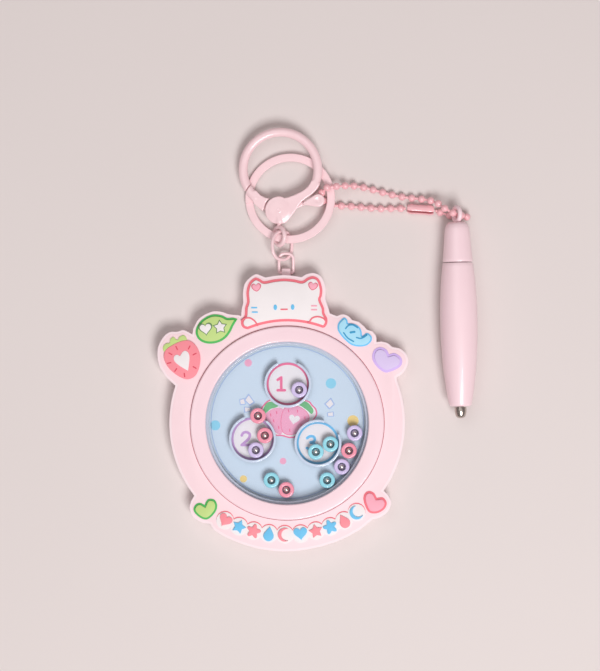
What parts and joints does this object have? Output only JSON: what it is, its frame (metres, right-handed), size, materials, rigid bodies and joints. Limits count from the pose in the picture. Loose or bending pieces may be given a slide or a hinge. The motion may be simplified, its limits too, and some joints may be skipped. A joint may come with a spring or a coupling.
{
  "type": "bead-maze keychain",
  "caption": "Round bead-maze keychain with a lobed soft frame, loose ring beads under a clear window, a lobster clasp, a split ring and a magnetic pen on a ball chain.",
  "frame": {"origin": "centre of the round back of the pod, on the plane it lies on", "axes": "+Z out of the window, +Y from the pod to the clasp, +X to the side the pen lies on"},
  "size_m": [0.107, 0.1418, 0.0125],
  "materials": {
    "soft_pink_vinyl": "satin",
    "blush_plastic": "gloss",
    "printed_card": "matte",
    "clear_plastic": "clear",
    "white_vinyl": "satin",
    "coral_vinyl": "satin",
    "leaf_vinyl": "satin",
    "sky_vinyl": "satin",
    "purple_vinyl": "satin",
    "pink_plated": "gloss",
    "chain_pink": "gloss",
    "pen_plastic": "gloss",
    "bare_steel": "polished",
    "rose_plastic": "gloss",
    "lilac_plastic": "gloss",
    "aqua_plastic": "gloss"
  },
  "bodies": {
    "pod": {"rubber_frame": "soft_pink_vinyl", "pod_back_shell": "blush_plastic", "printed_card": "printed_card", "clear_tray": "clear_plastic", "clear_lid": "clear_plastic", "bezel_ring": "blush_plastic", "cat_face": "white_vinyl", "strawberry": "coral_vinyl", "leaf_bubble": "leaf_vinyl", "ribbon_bow": "sky_vinyl", "purple_heart": "purple_vinyl", "green_heart": "leaf_vinyl", "pink_heart": "coral_vinyl", "charm_row": "white_vinyl"},
    "bail": {"bail": "pink_plated"},
    "link": {"oval_link": "pink_plated"},
    "clasp": {"clasp_body": "pink_plated", "gate_rivet": "pink_plated", "gate_spring": "bare_steel"},
    "gate": {"gate_lever": "pink_plated"},
    "eye": {"swivel_eye": "pink_plated"},
    "split_ring": {"key_ring": "pink_plated"},
    "chain": {"ball_chain": "chain_pink", "chain_connector": "chain_pink"},
    "pen": {"pen_cap": "pen_plastic", "pen_barrel": "pen_plastic", "pen_magnet": "bare_steel", "pen_tip": "bare_steel"},
    "bead_01": {"bead_ring_01": "lilac_plastic", "bead_ball_01": "bare_steel"},
    "bead_02": {"bead_ring_02": "rose_plastic", "bead_ball_02": "bare_steel"},
    "bead_03": {"bead_ring_03": "rose_plastic", "bead_ball_03": "bare_steel"},
    "bead_04": {"bead_ring_04": "lilac_plastic", "bead_ball_04": "bare_steel"},
    "bead_05": {"bead_ring_05": "aqua_plastic", "bead_ball_05": "bare_steel"},
    "bead_06": {"bead_ring_06": "aqua_plastic", "bead_ball_06": "bare_steel"},
    "bead_07": {"bead_ring_07": "lilac_plastic", "bead_ball_07": "bare_steel"},
    "bead_08": {"bead_ring_08": "rose_plastic", "bead_ball_08": "bare_steel"},
    "bead_09": {"bead_ring_09": "lilac_plastic", "bead_ball_09": "bare_steel"},
    "bead_10": {"bead_ring_10": "aqua_plastic", "bead_ball_10": "bare_steel"},
    "bead_11": {"bead_ring_11": "aqua_plastic", "bead_ball_11": "bare_steel"},
    "bead_12": {"bead_ring_12": "rose_plastic", "bead_ball_12": "bare_steel"}
  },
  "joints": [
    {"name": "bail_swing", "type": "hinge", "parent": "pod", "child": "bail", "pos_m": [-0.00035, 0.0504, 0.00175], "axis": [1, 0, 0], "range_deg": [-30, 65]},
    {"name": "link_swing", "type": "hinge", "parent": "bail", "child": "link", "pos_m": [-0.00035, 0.05681, 0.00284], "axis": [1, 0, 0], "range_deg": [-25, 4]},
    {"name": "clasp_swing", "type": "hinge", "parent": "link", "child": "clasp", "pos_m": [-0.0022, 0.0629, 0.0033], "axis": [1, 0, 0], "range_deg": [-20, 30]},
    {"name": "gate_open", "type": "hinge", "parent": "clasp", "child": "gate", "pos_m": [-0.00272, 0.07129, 0.00372], "axis": [0.0499, 0.0499, -0.9975], "range_deg": [0, 25], "stiffness_Nm_per_rad": 0.003, "springref_deg": -28.65},
    {"name": "swivel_turn", "type": "hinge", "parent": "clasp", "child": "eye", "pos_m": [-0.0026, 0.0627, 0.0033], "axis": [-0.0025, 0.9988, 0.0498], "range_deg": [-32, 4]},
    {"name": "split_ring_swing", "type": "hinge", "parent": "clasp", "child": "split_ring", "pos_m": [-0.0026, 0.0622, 0.003], "axis": [-0.0786, 0.0538, 0.9955], "range_deg": [-6, 1]},
    {"name": "chain_swing", "type": "hinge", "parent": "split_ring", "child": "chain", "pos_m": [0.0146, 0.0764, 0.0033], "axis": [0, 0, 1], "range_deg": [-5, 5]},
    {"name": "pen_swing", "type": "hinge", "parent": "chain", "child": "pen", "pos_m": [0.05675, 0.0699, 0.00625], "axis": [0, 0, 1], "range_deg": [-10, 15]},
    {"name": "bead_01_slide", "type": "slide", "parent": "pod", "child": "bead_01", "axis": [-1, 0, 0], "range_m": [0, 0.00745]},
    {"name": "bead_02_slide", "type": "slide", "parent": "pod", "child": "bead_02", "axis": [-0.5736, 0.8191, 0], "range_m": [0, 0.01475]},
    {"name": "bead_03_slide", "type": "slide", "parent": "pod", "child": "bead_03", "axis": [-0.9397, 0.342, 0], "range_m": [0, 0.00325]},
    {"name": "bead_04_slide", "type": "slide", "parent": "pod", "child": "bead_04", "axis": [-0.8189, 0.5739, 0], "range_m": [0, 0.00645]},
    {"name": "bead_05_slide", "type": "slide", "parent": "pod", "child": "bead_05", "axis": [-0.4993, 0.8664, 0], "range_m": [0, 0.00575]},
    {"name": "bead_06_slide", "type": "slide", "parent": "pod", "child": "bead_06", "axis": [-0.3424, 0.9395, 0], "range_m": [0, 0.00456]},
    {"name": "bead_07_slide", "type": "slide", "parent": "pod", "child": "bead_07", "axis": [-0.7663, 0.6425, 0], "range_m": [0, 0.016]},
    {"name": "bead_08_slide", "type": "slide", "parent": "pod", "child": "bead_08", "axis": [0.9855, -0.1694, 0], "range_m": [0, 0.00065]},
    {"name": "bead_09_slide", "type": "slide", "parent": "pod", "child": "bead_09", "axis": [-0.7071, -0.7071, 0], "range_m": [0, 0.00055]},
    {"name": "bead_10_slide", "type": "slide", "parent": "pod", "child": "bead_10", "axis": [-0.966, 0.2586, 0], "range_m": [0, 0.01535]},
    {"name": "bead_11_slide", "type": "slide", "parent": "pod", "child": "bead_11", "axis": [-0.966, 0.2587, 0], "range_m": [0, 0.01195]},
    {"name": "bead_12_slide", "type": "slide", "parent": "pod", "child": "bead_12", "axis": [0.9397, 0.3421, 0], "range_m": [0, 0.00865]}
  ]
}
